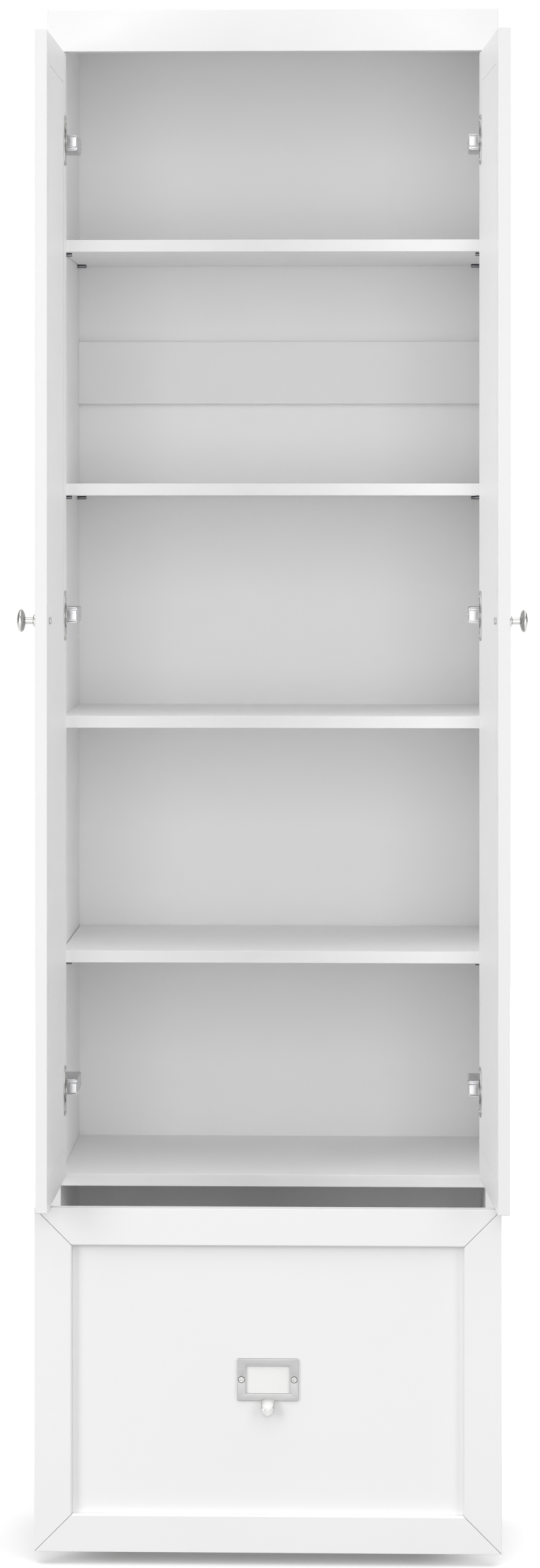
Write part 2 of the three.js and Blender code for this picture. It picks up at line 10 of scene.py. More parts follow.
import bmesh
import bpy
from mathutils import Matrix, Vector


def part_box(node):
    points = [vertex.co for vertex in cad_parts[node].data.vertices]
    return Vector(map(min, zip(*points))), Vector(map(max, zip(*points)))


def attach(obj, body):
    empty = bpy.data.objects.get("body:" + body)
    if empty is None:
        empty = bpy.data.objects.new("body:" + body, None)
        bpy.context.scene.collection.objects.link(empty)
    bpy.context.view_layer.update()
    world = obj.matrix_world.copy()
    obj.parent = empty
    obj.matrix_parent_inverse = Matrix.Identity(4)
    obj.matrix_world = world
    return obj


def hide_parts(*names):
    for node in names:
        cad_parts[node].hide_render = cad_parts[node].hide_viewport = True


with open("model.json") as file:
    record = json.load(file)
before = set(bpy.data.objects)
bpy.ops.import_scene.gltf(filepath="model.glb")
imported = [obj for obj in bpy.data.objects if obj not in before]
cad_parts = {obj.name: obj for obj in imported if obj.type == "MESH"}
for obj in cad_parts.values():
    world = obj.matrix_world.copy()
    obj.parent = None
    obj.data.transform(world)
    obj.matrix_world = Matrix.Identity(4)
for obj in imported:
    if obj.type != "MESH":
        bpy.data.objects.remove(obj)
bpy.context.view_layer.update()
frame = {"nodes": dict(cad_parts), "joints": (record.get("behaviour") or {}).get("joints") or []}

MM = 0.001
SIDES = {"left": -1, "right": 1}
LEVELS = ("top", "middle", "bottom")
PULL_ROOT = 4.2 * MM          # the pull's top edge, above the card holder's lower edge
PULL_REACH = 12.6 * MM
PULL_SLOPE = 12.7 * MM
PULL_LIP = 9 * MM
PULL_ROOT_HALF = 9.1 * MM
PULL_FOLD_HALF = 7.2 * MM
PULL_LIP_HALF = 6.7 * MM
BOARD_EDGE = 0.7 * MM
FRONT_EDGE = 0.6 * MM


# ---- Camera, light and floor ---------------------------------------------------------------------
CAMERA_DISTANCE = 5.5        # from the case's front edges
CAMERA_ASIDE = 0.147
EYE_HEIGHT = 1.357
CAMERA_TURN = math.radians(1.57)
LENS = 94.44
SHIFT_Y = -0.179
ROOM_LIGHT = 0.3             # how strongly the studio's walls light the object
OVERHEAD_LIGHT = 2.5
FLOOR_SIZE = 28.0


def add_camera():
    camera = bpy.data.objects.new("camera", bpy.data.cameras.new("camera"))
    bpy.context.collection.objects.link(camera)
    case_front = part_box("side_panel_left")[0].y
    camera.location = (CAMERA_ASIDE, case_front - CAMERA_DISTANCE, EYE_HEIGHT)
    camera.rotation_euler = (math.pi / 2, 0, CAMERA_TURN)
    camera.data.lens = LENS
    camera.data.shift_y = SHIFT_Y
    camera.data.clip_end = 50
    bpy.context.scene.camera = camera


def add_area_light(name, location, target, size, power):
    light = bpy.data.lights.new(name, "AREA")
    light.shape = "RECTANGLE"
    light.size, light.size_y = size
    light.energy = power
    lamp = bpy.data.objects.new(name, light)
    bpy.context.collection.objects.link(lamp)
    lamp.location = location
    direction = Vector(target) - Vector(location)
    lamp.rotation_euler = direction.to_track_quat("-Z", "Y").to_euler()


def add_overhead_light(power):
    """Even, very soft light from straight above, the same over the whole floor."""
    light = bpy.data.lights.new("overhead", "SUN")
    light.energy = power
    light.angle = math.radians(90)
    lamp = bpy.data.objects.new("overhead", light)
    bpy.context.collection.objects.link(lamp)
    lamp.location = (0, 0, 5)


def add_lights():
    add_area_light("front_softbox", (0.1, -6.4, 1.9), (0, 0, 1.0), (3.2, 4.2), 128)
    add_area_light("left_softbox", (-4.2, -3.6, 1.9), (0, 0, 1.0), (2.0, 4.0), 130)
    add_area_light("right_softbox", (4.2, -3.6, 1.9), (0, 0, 1.0), (2.0, 4.0), 74)
    add_area_light("back_softbox", (1.6, 5.2, 2.2), (0, 0, 1.0), (3.0, 4.0), 110)
    add_overhead_light(OVERHEAD_LIGHT)
    add_world()


def add_world():
    """A white studio: the backdrop looks pure white, and lights the object more gently than that."""
    world = bpy.data.worlds.new("studio")
    world.use_nodes = True
    tree = world.node_tree
    backdrop = tree.nodes["Background"]
    backdrop.inputs["Color"].default_value = (1, 1, 1, 1)
    backdrop.inputs["Strength"].default_value = 1.0
    room = tree.nodes.new("ShaderNodeBackground")
    room.inputs["Color"].default_value = (1, 1, 1, 1)
    room.inputs["Strength"].default_value = ROOM_LIGHT
    rays = tree.nodes.new("ShaderNodeLightPath")
    choose = tree.nodes.new("ShaderNodeMixShader")
    tree.links.new(rays.outputs["Is Camera Ray"], choose.inputs["Fac"])
    tree.links.new(room.outputs["Background"], choose.inputs[1])
    tree.links.new(backdrop.outputs["Background"], choose.inputs[2])
    tree.links.new(choose.outputs["Shader"], tree.nodes["World Output"].inputs["Surface"])
    bpy.context.scene.world = world
    bpy.context.scene.view_settings.view_transform = "Standard"


def add_floor(material):
    mesh = bpy.data.meshes.new("studio_floor")
    half = FLOOR_SIZE / 2
    corners = [(-half, -half, 0), (half, -half, 0), (half, half, 0), (-half, half, 0)]
    mesh.from_pydata(corners, [], [(0, 1, 2, 3)])
    mesh.materials.append(material)
    floor = bpy.data.objects.new("studio_floor", mesh)
    bpy.context.collection.objects.link(floor)
    floor.visible_diffuse = False


# ---- Materials -----------------------------------------------------------------------------------
def new_material(name):
    material = bpy.data.materials.new(name)
    material.use_nodes = True
    tree = material.node_tree
    return material, tree, tree.nodes["Principled BSDF"]


def add_noise(tree, scale, detail=4.0, stretch=(1, 1, 1)):
    """Noise in object space; stretch scales the axes, so a small number draws it out along one."""
    coordinates = tree.nodes.new("ShaderNodeTexCoord")
    mapping = tree.nodes.new("ShaderNodeMapping")
    mapping.inputs["Scale"].default_value = stretch
    noise = tree.nodes.new("ShaderNodeTexNoise")
    noise.inputs["Scale"].default_value = scale
    noise.inputs["Detail"].default_value = detail
    tree.links.new(coordinates.outputs["Object"], mapping.inputs["Vector"])
    tree.links.new(mapping.outputs["Vector"], noise.inputs["Vector"])
    return noise.outputs["Fac"]


def vary_colour(tree, shader, factor, dark, light, low=0.3, high=0.7):
    ramp = tree.nodes.new("ShaderNodeValToRGB")
    ramp.color_ramp.elements[0].position = low
    ramp.color_ramp.elements[0].color = (*dark, 1)
    ramp.color_ramp.elements[1].position = high
    ramp.color_ramp.elements[1].color = (*light, 1)
    tree.links.new(factor, ramp.inputs["Fac"])
    tree.links.new(ramp.outputs["Color"], shader.inputs["Base Color"])


def vary_roughness(tree, shader, factor, low, high):
    scale = tree.nodes.new("ShaderNodeMapRange")
    scale.inputs["To Min"].default_value = low
    scale.inputs["To Max"].default_value = high
    tree.links.new(factor, scale.inputs["Value"])
    tree.links.new(scale.outputs["Result"], shader.inputs["Roughness"])


def add_bump(tree, shader, factor, depth, strength=1.0):
    bump = tree.nodes.new("ShaderNodeBump")
    bump.inputs["Distance"].default_value = depth
    bump.inputs["Strength"].default_value = strength
    tree.links.new(factor, bump.inputs["Height"])
    tree.links.new(bump.outputs["Normal"], shader.inputs["Normal"])


def paint_light_by_facing(tree, shader, direction, tone):
    """Painted light and shade: the faces that look in one direction, as the object stands at rest, get a
    lighter or darker tone of their own in place of how the lamps light that side.
    """
    colour = shader.inputs["Base Color"].links[0].from_socket
    coordinates = tree.nodes.new("ShaderNodeTexCoord")
    along = tree.nodes.new("ShaderNodeVectorMath")
    along.operation = "DOT_PRODUCT"
    along.inputs[1].default_value = direction
    painted_light_facing = tree.nodes.new("ShaderNodeMath")
    painted_light_facing.operation = "GREATER_THAN"
    painted_light_facing.inputs[1].default_value = 0.7
    choose = tree.nodes.new("ShaderNodeMixRGB")
    choose.inputs["Color2"].default_value = (*tone, 1)
    tree.links.new(coordinates.outputs["Normal"], along.inputs[0])
    tree.links.new(along.outputs["Value"], painted_light_facing.inputs[0])
    tree.links.new(painted_light_facing.outputs["Value"], choose.inputs["Fac"])
    tree.links.new(colour, choose.inputs["Color1"])
    tree.links.new(choose.outputs["Color"], shader.inputs["Base Color"])


def lacquer(name, light, dark, gloss=(0.38, 0.5), peel=0.03 * MM, painted_light_facing=None):
    """Sprayed white lacquer: faint cloudiness, orange peel a few millimetres across."""
    material, tree, shader = new_material(name)
    cloud = add_noise(tree, 2.3, 5.0)
    vary_colour(tree, shader, cloud, dark, light)
    # Painted light and shade: the faces looking one way get a tone of their own.
    if painted_light_facing:
        paint_light_by_facing(tree, shader, *painted_light_facing)
    vary_roughness(tree, shader, add_noise(tree, 14.0, 3.0), *gloss)
    add_bump(tree, shader, add_noise(tree, 330.0, 2.0), peel)
    shader.inputs["IOR"].default_value = 1.5
    shader.inputs["Specular IOR Level"].default_value = 0.45
    return material


def foil(name, light, dark):
    """Matt foil on board, with the fine pressed grain of such a foil running along Y."""
    material, tree, shader = new_material(name)
    grain = add_noise(tree, 420.0, 6.0, (1, 0.06, 1))
    vary_colour(tree, shader, grain, dark, light, 0.25, 0.75)
    vary_roughness(tree, shader, add_noise(tree, 22.0), 0.52, 0.66)
    add_bump(tree, shader, grain, 0.04 * MM)
    return material


def brushed_metal(name, light, dark, rough, scale, stretch, depth=0.01 * MM):
    """Plated metal with fine brush lines drawn out along the axis with the small stretch."""
    material, tree, shader = new_material(name)
    lines = add_noise(tree, scale, 4.0, stretch)
    vary_colour(tree, shader, lines, dark, light, 0.2, 0.8)
    vary_roughness(tree, shader, add_noise(tree, 90.0, 3.0), *rough)
    add_bump(tree, shader, lines, depth)
    shader.inputs["Metallic"].default_value = 1.0
    return material


def card_paper(name):
    material, tree, shader = new_material(name)
    fibres = add_noise(tree, 1400.0, 8.0, (1, 1, 0.4))
    vary_colour(tree, shader, fibres, (0.78, 0.78, 0.77), (0.86, 0.86, 0.85))
    vary_roughness(tree, shader, fibres, 0.8, 0.95)
    add_bump(tree, shader, fibres, 0.02 * MM)
    return material


def floor_sheet(name):
    material, tree, shader = new_material(name)
    vary_colour(tree, shader, add_noise(tree, 1.5), (0.95, 0.95, 0.95), (0.96, 0.96, 0.96))
    vary_roughness(tree, shader, add_noise(tree, 8.0), 0.85, 0.95)
    return material


# Painted light and shade: these whites are lighter and darker copies of one lacquer. The fronts are darker
# and the inner boards and back lighter, so the brightly lit fronts and the shaded inside of the case come out
# at their tones.
WHITE = lacquer("white_lacquer", (0.81, 0.81, 0.81), (0.79, 0.79, 0.79))
# Painted light on the doors' inner faces, which turn to the case as the doors stand open, and painted shade
# on the rest of the door, which is darker than the fronts' white.
DOOR_WHITE = {name: lacquer(f"door_lacquer_{name}", (0.77, 0.77, 0.77), (0.75, 0.75, 0.75),
                            painted_light_facing=((-side, 0, 0), (0.93, 0.93, 0.93))) for name, side in SIDES.items()}
# Painted shade: the faces of these boards that look to the front get a darker white.
SHELF_WHITE = lacquer("shelf_lacquer", (0.94, 0.94, 0.94), (0.92, 0.92, 0.92), (0.42, 0.55), 0.02 * MM,
                      ((0, -1, 0), (0.83, 0.83, 0.83)))
BACK_WHITE = lacquer("back_lacquer", (0.94, 0.94, 0.94), (0.92, 0.92, 0.92), (0.6, 0.75), 0.05 * MM)
BOX_FOIL = foil("drawer_foil", (0.94, 0.94, 0.93), (0.89, 0.89, 0.88))
NICKEL = brushed_metal("satin_nickel", (0.6, 0.6, 0.59), (0.5, 0.5, 0.49), (0.24, 0.36), 700, (1, 1, 0.05))
PLATE = brushed_metal("plate_nickel", (0.42, 0.42, 0.42), (0.36, 0.36, 0.36), (0.38, 0.48), 900, (0.04, 1, 1))
ZINC = brushed_metal("plated_steel", (0.66, 0.66, 0.67), (0.56, 0.56, 0.57), (0.34, 0.48), 500, (1, 0.06, 1))
PIN_STEEL = brushed_metal("pin_steel", (0.2, 0.2, 0.21), (0.13, 0.13, 0.14), (0.2, 0.32), 900, (0.05, 1, 1))
CARD = card_paper("blank_card")


# ---- Mesh helpers --------------------------------------------------------------------------------
def finish_piece(obj, body, place=None):
    """Puts a piece, drawn in its own or in closed-door coordinates, in the frame and on its body."""
    if place is not None:
        obj.data.transform(place)
    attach(obj, body)
    return obj


def object_from(name, bm, material, smooth_angle=35):
    mesh = bpy.data.meshes.new(name)
    bmesh.ops.recalc_face_normals(bm, faces=bm.faces)
    bm.to_mesh(mesh)
    bm.free()
    mesh.materials.append(material)
    shade_smooth(mesh, smooth_angle)
    obj = bpy.data.objects.new(name, mesh)
    bpy.context.collection.objects.link(obj)
    return obj


def shade_smooth(mesh, angle):
    """Smooth shading, with the edges sharper than the angle (degrees) kept crisp."""
    mesh.shade_smooth()
    mesh.set_sharp_from_angle(angle=math.radians(angle))


def joined(name, parts):
    """One piece from several objects that share a material."""
    bm = bmesh.new()
    for part in parts:
        bm.from_mesh(part.data)
    material = parts[0].data.materials[0]
    for part in parts:
        bpy.data.meshes.remove(part.data)
    return object_from(name, bm, material)


def lathe(name, outline, material, segments=48):
    """Turns (radius, height) points about Z. The outline starts and ends on the axis."""
    bm = bmesh.new()
    rings = []
    for radius, height in outline:
        if radius < 1e-7:
            rings.append([bm.verts.new((0, 0, height))])
            continue
        angles = [2 * math.pi * i / segments for i in range(segments)]
        rings.append([bm.verts.new((radius * math.cos(a), radius * math.sin(a), height)) for a in angles])
    for low, high in zip(rings, rings[1:]):
        for i in range(segments):
            after = i + 1
            corners = [low[i % len(low)], low[after % len(low)],
                       high[after % len(high)], high[i % len(high)]]
            bm.faces.new(list(dict.fromkeys(corners)))
    return object_from(name, bm, material)


def arc(centre, radius, start, end, steps=8):
    """Points on an arc, angles in degrees, both ends included."""
    angles = [math.radians(start + (end - start) * i / steps) for i in range(steps + 1)]
    return [(centre[0] + radius * math.cos(a), centre[1] + radius * math.sin(a)) for a in angles]


def rounded_rectangle(width, height, radius, steps=6):
    x = width / 2 - radius
    y = height / 2 - radius
    return (arc((x, y), radius, 0, 90, steps) + arc((-x, y), radius, 90, 180, steps)
            + arc((-x, -y), radius, 180, 270, steps) + arc((x, -y), radius, 270, 360, steps))


def circle(centre, radius, steps=32):
    return arc(centre, radius, 0, 360 * (steps - 1) / steps, steps - 1)


def cross_outline(reach, half):
    """The outline of a cross recess, counter-clockwise."""
    corner = [(reach, -half), (reach, half), (half, half)]
    points = []
    for quarter in range(4):
        c, s = round(math.cos(quarter * math.pi / 2)), round(math.sin(quarter * math.pi / 2))
        points += [(x * c - y * s, x * s + y * c) for x, y in corner]
    return points


def plate(name, outline, holes, thickness, edge, material):
    """A flat plate in XY, from Z = 0 up, with holes and rounded edges, made from a filled 2-D curve."""
    curve = bpy.data.curves.new(name, "CURVE")
    curve.dimensions = "2D"
    curve.fill_mode = "BOTH"
    curve.extrude = thickness / 2 - edge
    curve.bevel_depth = edge
    curve.bevel_resolution = 2
    curve.offset = -edge
    for points in (outline, *holes):
        spline = curve.splines.new("POLY")
        spline.points.add(len(points) - 1)
        for target, point in zip(spline.points, points):
            target.co = (*point, 0, 1)
        spline.use_cyclic_u = True
    carrier = bpy.data.objects.new(name, curve)
    bpy.context.collection.objects.link(carrier)
    bpy.context.view_layer.update()
    mesh = bpy.data.meshes.new_from_object(carrier.evaluated_get(bpy.context.evaluated_depsgraph_get()))
    bpy.data.objects.remove(carrier)
    bm = bmesh.new()
    bm.from_mesh(mesh)
    bmesh.ops.remove_doubles(bm, verts=bm.verts, dist=1e-6)
    bmesh.ops.translate(bm, verts=bm.verts, vec=(0, 0, thickness / 2))
    return object_from(name, bm, material)


def moved(obj, matrix):
    obj.data.transform(matrix)
    return obj


def basis(x_axis, y_axis, origin):
    """A matrix that turns X and Y to the given axes and puts the origin at a point."""
    x, y = Vector(x_axis), Vector(y_axis)
    matrix = Matrix((x, y, x.cross(y))).transposed().to_4x4()
    matrix.translation = Vector(origin)
    return matrix


def screw(name, radius, material, rise=0.55):
    """A screw head, up +Z with its seat at Z = 0, with a cross recess; rise is its height per radius."""
    height = radius * rise
    rim = plate(name + "_head", circle((0, 0), radius), [cross_outline(radius * 0.55, radius * 0.13)],
                height, height * 0.42, material)
    floor = plate(name + "_floor", circle((0, 0), radius * 0.75), [], height * 0.35, height * 0.1, material)
    return joined(name, [rim, floor])


# ---- Door frames ---------------------------------------------------------------------------------
def joint(name):
    return next(j for j in frame["joints"] if j["name"] == name)


def door_matrix(side_name):
    """Turns closed-door coordinates to the rest pose, where that door stands open."""
    hinge = joint(f"door_{side_name}_hinge")
    pivot = Matrix.Translation(Vector(hinge["pos_m"]))
    opening = -math.radians(hinge["range_deg"][0])
    return pivot @ Matrix.Rotation(opening, 4, Vector(hinge["axis"])) @ pivot.inverted()


def closed_box(node, side_name):
    """A door node's lowest and highest corners with its door closed."""
    back = door_matrix(side_name).inverted()
    points = [back @ v.co for v in frame["nodes"][node].data.vertices]
    low = Vector([min(p[i] for p in points) for i in range(3)])
    high = Vector([max(p[i] for p in points) for i in range(3)])
    return low, high


# ---- Boards --------------------------------------------------------------------------------------
def soften(node, material, edge, segments=3):
    """Keeps a CAD board, gives it its finish and rounds its long edges."""
    obj = frame["nodes"][node]
    obj.data.materials.clear()
    obj.data.materials.append(material)
    weld = obj.modifiers.new("weld", "WELD")
    weld.merge_threshold = 1e-6
    flat = obj.modifiers.new("flat", "DECIMATE")
    flat.decimate_type = "DISSOLVE"
    flat.angle_limit = math.radians(1)
    bevel = obj.modifiers.new("edge", "BEVEL")
    bevel.width = edge
    bevel.segments = segments
    bevel.limit_method = "ANGLE"
    bevel.angle_limit = math.radians(40)
    bevel.use_clamp_overlap = False
    bevel.harden_normals = True


def finish_boards():
    for name in ("fascia", "toe_kick"):
        soften(name, WHITE, BOARD_EDGE)
    for name in ("side_panel_left", "side_panel_right", "top_panel", "deck", "bottom_panel",
                 "shelf_1", "shelf_2", "shelf_3", "shelf_4", "back_rail"):
        soften(name, SHELF_WHITE, BOARD_EDGE)
    soften("back_panel", BACK_WHITE, 0.3 * MM)


def finish_fronts():
    for side_name in SIDES:
        for piece in ("hinge_stile", "free_stile", "top_rail", "bottom_rail", "panel"):
            soften(f"door_{side_name}_{piece}", DOOR_WHITE[side_name], FRONT_EDGE)
    for piece in ("left_stile", "right_stile", "top_rail", "bottom_rail", "panel"):
        soften(f"drawer_{piece}", WHITE, FRONT_EDGE)


def finish_drawer_box():
    for piece in ("left_side", "right_side", "front", "back", "bottom"):
        soften(f"drawer_box_{piece}", BOX_FOIL, 0.5 * MM)
    for side_name in SIDES:
        soften(f"slide_case_{side_name}", ZINC, 0.3 * MM)
        soften(f"slide_drawer_{side_name}", ZINC, 0.3 * MM)


# ---- Knobs ---------------------------------------------------------------------------------------
def knob_outline(radius, length):
    """Domed foot, straight stem and a lens-shaped head, from the door's face up."""
    foot = 7.8 * MM
    stem = 4.3 * MM
    rim = length - 4.7 * MM
    neck = length - 10.2 * MM
    outline = [(0, 0), (foot - 0.3 * MM, 0), (foot, 0.3 * MM), (foot, 3.4 * MM)]
    outline += [(stem + (foot - stem) * math.cos(a), (3.4 + 2.2 * math.sin(a)) * MM)
                for a in (math.radians(d) for d in (20, 40, 60, 80))]
    outline += [(stem, 5.8 * MM), (stem, neck - 0.4 * MM)]
    steps = 12
    for i in range(1, steps):
        rise = i / steps
        outline.append((stem + (radius - stem) * math.sin(rise * math.pi / 2),
                        neck + (rim - neck) * (0.35 * rise + 0.65 * rise ** 2)))
    for i in range(steps + 1):
        angle = i / steps * math.pi / 2
        outline.append((radius * math.cos(angle), rim + (length - rim) * math.sin(angle)))
    outline[-1] = (0, length)
    return outline


def add_knobs():
    for side_name in SIDES:
        node = f"door_{side_name}_knob"
        low, high = closed_box(node, side_name)
        panel_low, panel_high = closed_box(f"door_{side_name}_free_stile", side_name)
        centre = (low + high) / 2
        knob = lathe(f"knob_{side_name}", knob_outline((high.z - low.z) / 2, panel_low.y - low.y), NICKEL, 64)
        moved(knob, basis((1, 0, 0), (0, 0, 1), (centre.x, panel_low.y, centre.z)))
        finish_piece(knob, f"door_{side_name}", door_matrix(side_name))
        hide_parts(node)
        head = screw(f"knob_screw_{side_name}", 4.5 * MM, NICKEL)
        moved(head, basis((1, 0, 0), (0, 0, -1), (centre.x, panel_high.y, centre.z)))
        finish_piece(head, f"door_{side_name}", door_matrix(side_name))


# ---- Hinges --------------------------------------------------------------------------------------
def add_hinge_cup(side_name, level):
    node = f"hinge_cup_{side_name}_{level}"
    low, high = closed_box(node, side_name)
    centre = (low + high) / 2
    radius = (high.x - low.x) / 2
    face = closed_box(f"door_{side_name}_hinge_stile", side_name)[1].y
    depth = face - low.y
    wall = 1.1 * MM
    mouth = radius - wall
    screw_at = 26 * MM
    holes = [circle((0, end * screw_at), 2.4 * MM, 20) for end in (-1, 1)] + [circle((0, 0), mouth, 48)]
    outline = flange_outline(27.6 * MM, high.z - low.z, 9 * MM, radius)
    flange = plate("flange", outline, holes, 1.2 * MM, 0.35 * MM, NICKEL)
    moved(flange, Matrix.Translation((0, 0, 0.1 * MM)))
    cup = lathe("cup", [
        (0, -depth), (radius - 2 * MM, -depth),
        (radius - 0.6 * MM, -depth + 0.6 * MM), (radius, -depth + 2 * MM),
        (radius, -0.1 * MM), (mouth, -0.1 * MM),
        (mouth, -depth + 3 * MM), (mouth - 1.2 * MM, -depth + 1.4 * MM),
        (mouth - 3 * MM, -depth + wall), (0, -depth + wall)], NICKEL, 48)
    screws = []
    for end in (-1, 1):
        head = screw("flange_screw", 3.6 * MM, NICKEL, 0.25)
        screws.append(moved(head, Matrix.Translation((0, end * screw_at, 1.2 * MM))))
    piece = joined(f"cup_{side_name}_{level}", [flange, cup, *screws])
    moved(piece, basis((-1, 0, 0), (0, 0, 1), (centre.x, face, centre.z)))
    finish_piece(piece, f"door_{side_name}", door_matrix(side_name))
    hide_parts(node)


def flange_outline(width, height, corner, radius):
    """The flange: a bar with round corners that swells round the cup's mouth."""
    meet = math.degrees(math.acos(width / 2 / radius))
    x = width / 2 - corner
    y = height / 2 - corner
    return (arc((0, 0), radius, -meet, meet, 12)
            + arc((x, y), corner, 0, 90) + arc((-x, y), corner, 90, 180)
            + arc((0, 0), radius, 180 - meet, 180 + meet, 12)
            + arc((-x, -y), corner, 180, 270) + arc((x, -y), corner, 270, 360))


def add_hinge_arm(side_name, level):
    side = SIDES[side_name]
    node = f"hinge_arm_{side_name}_{level}"
    low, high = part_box(node)
    wall_x = side * max(abs(low.x), abs(high.x))
    face_x = side * min(abs(low.x), abs(high.x))
    stand = abs(wall_x - face_x)
    centre_z = (low.z + high.z) / 2
    case_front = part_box("side_panel_left")[0].y
    sheet = 1.5 * MM
    half = 10.5 * MM
    front = case_front - 1 * MM
    back = high.y

    # The channel's section, in the plane of stand-off and height: a sheet bent twice.
    bend = 2.6 * MM
    outside = ([(2.4 * MM, -half)] + arc((stand - bend, -half + bend), bend, -90, 0, 5)
               + arc((stand - bend, half - bend), bend, 0, 90, 5) + [(2.4 * MM, half)])
    inner_bend = bend - sheet
    inside = ([(2.4 * MM, half - sheet)] + arc((stand - bend, half - bend), inner_bend, 90, 0, 5)
              + arc((stand - bend, -half + bend), inner_bend, 0, -90, 5) + [(2.4 * MM, -half + sheet)])
    channel = plate("channel", outside + inside, [], back - front, 0.25 * MM, ZINC)
    moved(channel, basis((-side, 0, 0), (0, 0, 1), (wall_x, front if side > 0 else back, centre_z)))
    nose_outline = rounded_rectangle(13.4 * MM, 17.8 * MM, 1.4 * MM)
    nose = plate("nose", nose_outline, [], 6 * MM, 0.5 * MM, ZINC)
    nose_x = face_x + side * 7.6 * MM
    moved(nose, basis((1, 0, 0), (0, 0, 1), (nose_x, front + 6.4 * MM, centre_z)))
    reach = 11.5 * MM
    tongue_outline = rounded_rectangle(10.2 * MM, 13 * MM, 1.0 * MM)
    tongue = plate("tongue", tongue_outline, [], reach, 0.5 * MM, ZINC)
    tongue_x = face_x + side * 5.3 * MM
    moved(tongue, basis((1, 0, 0), (0, 0, 1), (tongue_x, low.y + reach, centre_z)))
    screw_at = 18 * MM
    mount_outline = rounded_rectangle(30 * MM, high.z - low.z, 5 * MM)
    mount_holes = [circle((0, end * screw_at), 2.4 * MM, 20) for end in (1, -1)]
    mount = plate("mount", mount_outline, mount_holes, 3 * MM, 0.4 * MM, ZINC)
    mount_y = case_front + 37 * MM
    moved(mount, basis((0, -side, 0), (0, 0, 1), (wall_x, mount_y, centre_z)))
    parts = [channel, nose, tongue, mount]
    for end in (-1, 1):
        head = screw("plate_screw", 3.6 * MM, ZINC)
        place = (wall_x - side * 2.6 * MM, mount_y, centre_z + end * screw_at)
        parts.append(moved(head, basis((0, -side, 0), (0, 0, 1), place)))
    for y, radius in ((case_front + 14 * MM, 2.6 * MM), (case_front + 58 * MM, 3.2 * MM)):
        head = screw("arm_screw", radius, ZINC)
        place = (face_x + side * 0.9 * MM, y, centre_z)
        parts.append(moved(head, basis((0, -side, 0), (0, 0, 1), place)))
    piece = joined(f"arm_{side_name}_{level}", parts)
    finish_piece(piece, "case")
    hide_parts(node)


def add_hinges():
    for side_name in SIDES:
        for level in LEVELS:
            add_hinge_cup(side_name, level)
            add_hinge_arm(side_name, level)


# ---- Shelf pins ----------------------------------------------------------------------------------
def pin_outline(radius, reach, shank):
    nose = radius * 0.4
    turns = [math.radians(degrees) for degrees in (20, 45, 70, 90)]
    tip = [(radius - nose + nose * math.cos(a), reach - nose + nose * math.sin(a)) for a in turns]
    return [(0, -shank), (radius - 0.4 * MM, -shank), (radius, -shank + 0.5 * MM),
            (radius, -0.2 * MM), (radius, reach - nose), *tip, (0, reach)]


def add_pin(name, side, y, shelf_low, wall_x, nodes=()):
    radius = 2.5 * MM
    pin = lathe(name, pin_outline(radius, 13 * MM, 8 * MM), PIN_STEEL, 32)
    moved(pin, basis((0, 1, 0), (0, 0, -side), (wall_x, y, shelf_low - radius)))
    finish_piece(pin, "case")
    if nodes:
        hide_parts(*nodes)


def add_pins():
    for side_name, side in SIDES.items():
        low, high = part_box(f"side_panel_{side_name}")
        wall_x = high.x if side < 0 else low.x
        for end in ("front", "rear"):
            pin_low, pin_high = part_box(f"shelf_pin_1_{end}_{side_name}")
            y = (pin_low.y + pin_high.y) / 2
            for shelf in (1, 2):
                name = f"pin_{shelf}_{end}_{side_name}"
                shelf_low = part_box(f"shelf_{shelf}")[0].z
                add_pin(name, side, y, shelf_low, wall_x, [f"shelf_{name}"])
            add_pin(f"pin_4_{end}_{side_name}", side, y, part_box("shelf_4")[0].z, wall_x)


# ---- Card holder, pull and card ------------------------------------------------------------------
def pull_row(t):
    """One row across the pull, t from 0 at its root to 1 at its tip: (forward, down, half width)."""
    fold_at = 0.55
    if t < fold_at:
        run = t / fold_at
        bulge = 0.9 * MM * math.sin(math.pi * run)
        return (PULL_REACH * run + bulge, PULL_SLOPE * run - bulge * 0.3,
                PULL_ROOT_HALF + (PULL_FOLD_HALF - PULL_ROOT_HALF) * run)
    run = (t - fold_at) / (1 - fold_at)
    straight = 1 - PULL_LIP_HALF / PULL_LIP
    half = PULL_FOLD_HALF + (PULL_LIP_HALF - PULL_FOLD_HALF) * min(1, run / straight)
    if run > straight:
        past = (run - straight) / (1 - straight)
        half *= max(0.03, 1 - past ** 2.6) ** 0.42
    return PULL_REACH, PULL_SLOPE + PULL_LIP * run, half


def pull_tongue():
    """The finger pull: slopes out and down from the plate, folds, and hangs as a lip with a round end.

    Its root is arched and it is a little dished across, like a pressed sheet.
    """
    bm = bmesh.new()
    rows = 44
    columns = 16
    grid = []
    for i in range(rows + 1):
        t = i / rows
        forward, down, half = pull_row(t)
        ring = []
        for j in range(columns + 1):
            across = -1 + 2 * j / columns
            arch = 1.6 * MM * across ** 2 * max(0.0, 1 - t / 0.3)
            turned_back = 1.8 * MM * abs(across) ** 2.5 * min(1, 4 * t)
            ring.append(bm.verts.new((half * across, turned_back - forward, -down - arch)))
        grid.append(ring)
    for first, second in zip(grid, grid[1:]):
        for j in range(columns):
            bm.faces.new((first[j], first[j + 1], second[j + 1], second[j]))
    obj = object_from("finger_pull", bm, NICKEL, 60)
    solid = obj.modifiers.new("thickness", "SOLIDIFY")
    solid.thickness = 2.0 * MM
    solid.offset = -1
    edge = obj.modifiers.new("edge", "BEVEL")
    edge.width = 0.45 * MM
    edge.segments = 3
    edge.angle_limit = math.radians(50)
    bpy.context.view_layer.update()
    graph = bpy.context.evaluated_depsgraph_get()
    mesh = bpy.data.meshes.new_from_object(obj.evaluated_get(graph))
    obj.modifiers.clear()
    obj.data = mesh
    return obj


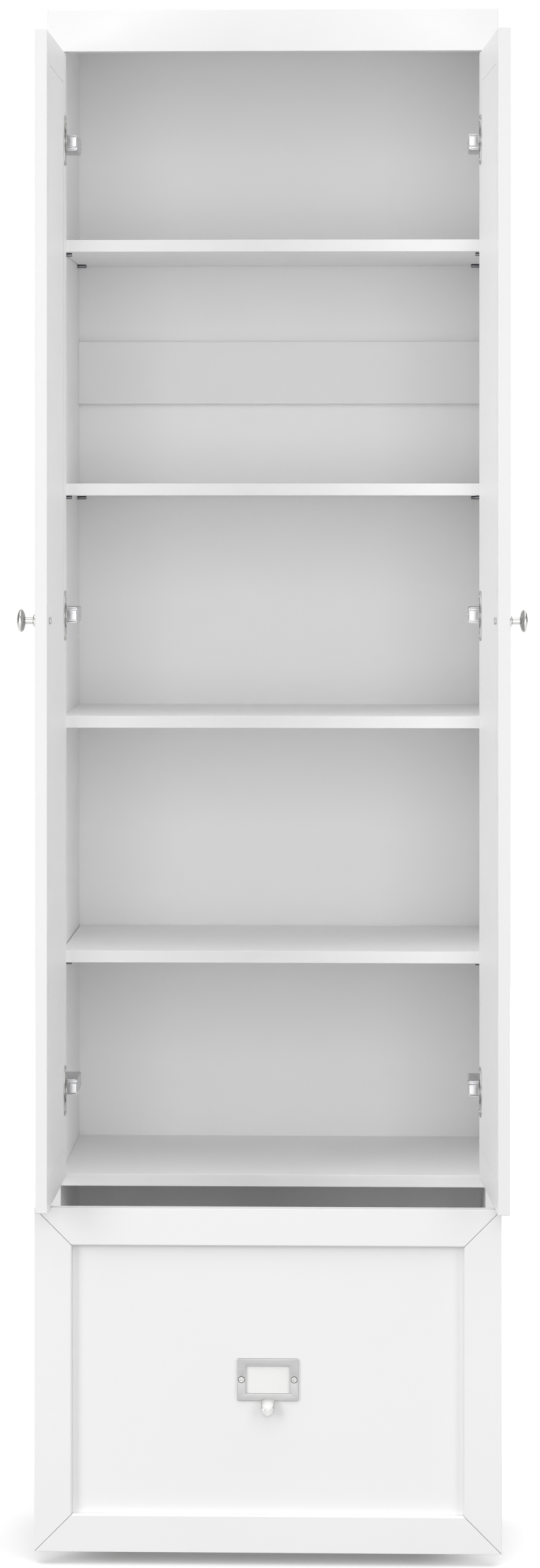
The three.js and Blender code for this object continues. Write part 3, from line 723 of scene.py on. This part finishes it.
def add_label_pull():
    low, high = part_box("drawer_label_pull")
    panel_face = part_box("drawer_panel")[0].y
    width = high.x - low.x
    height = 54.3 * MM
    centre_z = high.z - height / 2
    thickness = 2.5 * MM
    screw_at = 33.7 * MM
    window = rounded_rectangle(56 * MM, 34.7 * MM, 0.6 * MM, 3)
    holes = [window] + [circle((end * screw_at, 0), 4.1 * MM, 32) for end in (-1, 1)]
    holder_outline = rounded_rectangle(width, height, 2.5 * MM)
    holder = plate("card_holder", holder_outline, holes, thickness, 0.5 * MM, PLATE)
    upright = basis((1, 0, 0), (0, 0, 1), (0, panel_face, centre_z))
    moved(holder, upright)
    tongue = pull_tongue()
    root_z = centre_z - height / 2 + PULL_ROOT
    moved(tongue, Matrix.Translation((0, panel_face - thickness + 0.6 * MM, root_z)))
    finish_piece(tongue, "drawer")
    finish_piece(holder, "drawer")
    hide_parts("drawer_label_pull")
    for side_name, side in SIDES.items():
        head = screw(f"label_screw_{side_name}", 3.7 * MM, NICKEL)
        turn = Matrix.Rotation(math.radians(40 if side < 0 else 15), 4, "Z")
        moved(head, upright @ Matrix.Translation((side * screw_at, 0, thickness - 1.2 * MM)) @ turn)
        finish_piece(head, "drawer")
    card_outline = rounded_rectangle(62 * MM, 40 * MM, 0.8 * MM)
    card = plate("blank_card", card_outline, [], 0.25 * MM, 0.05 * MM, CARD)
    moved(card, upright @ Matrix.Translation((0, 0, 0.02 * MM)))
    finish_piece(card, "drawer")


# ---- Small fasteners ------------------------------------------------------------------------------
def spaced(start, end, count):
    return [start + (end - start) * i / (count - 1) for i in range(count)]


def add_back_pins():
    """Flat pins that hold the back panel: down both edges, and across each fixed board."""
    low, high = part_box("back_panel")
    inset = 4 * MM
    down_edges = spaced(low.z + 30 * MM, high.z - 30 * MM, 14)
    across = spaced(low.x + 90 * MM, high.x - 90 * MM, 4)
    places = [(x, z) for x in (low.x + inset, high.x - inset) for z in down_edges]
    for board in ("top_panel", "shelf_3", "deck", "bottom_panel"):
        board_low, board_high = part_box(board)
        places += [(x, (board_low.z + board_high.z) / 2) for x in across]
    heads = []
    for x, z in places:
        head = lathe("pin_head", [
            (0, -0.4 * MM), (2.6 * MM, -0.4 * MM), (2.6 * MM, 0), (2.3 * MM, 0.15 * MM),
            (0, 0.2 * MM)], ZINC, 20)
        heads.append(moved(head, basis((-1, 0, 0), (0, 0, 1), (x, high.y, z))))
    finish_piece(joined("back_pins", heads), "case")


def add_drawer_screws():
    """Four screws through the box front into the drawer front, heads inside the box."""
    low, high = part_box("drawer_box_front")
    heads = []
    for x in (-180 * MM, 180 * MM):
        for z in (low.z + 55 * MM, high.z - 55 * MM):
            head = screw("front_screw", 4.2 * MM, ZINC)
            heads.append(moved(head, basis((-1, 0, 0), (0, 0, 1), (x, high.y, z))))
    finish_piece(joined("box_front_screws", heads), "drawer")


# ---- Assembly ------------------------------------------------------------------------------------
add_camera()
add_lights()
add_floor(floor_sheet("floor_sheet"))
finish_boards()
finish_fronts()
finish_drawer_box()
add_knobs()
add_hinges()
add_pins()
add_label_pull()
add_back_pins()
add_drawer_screws()
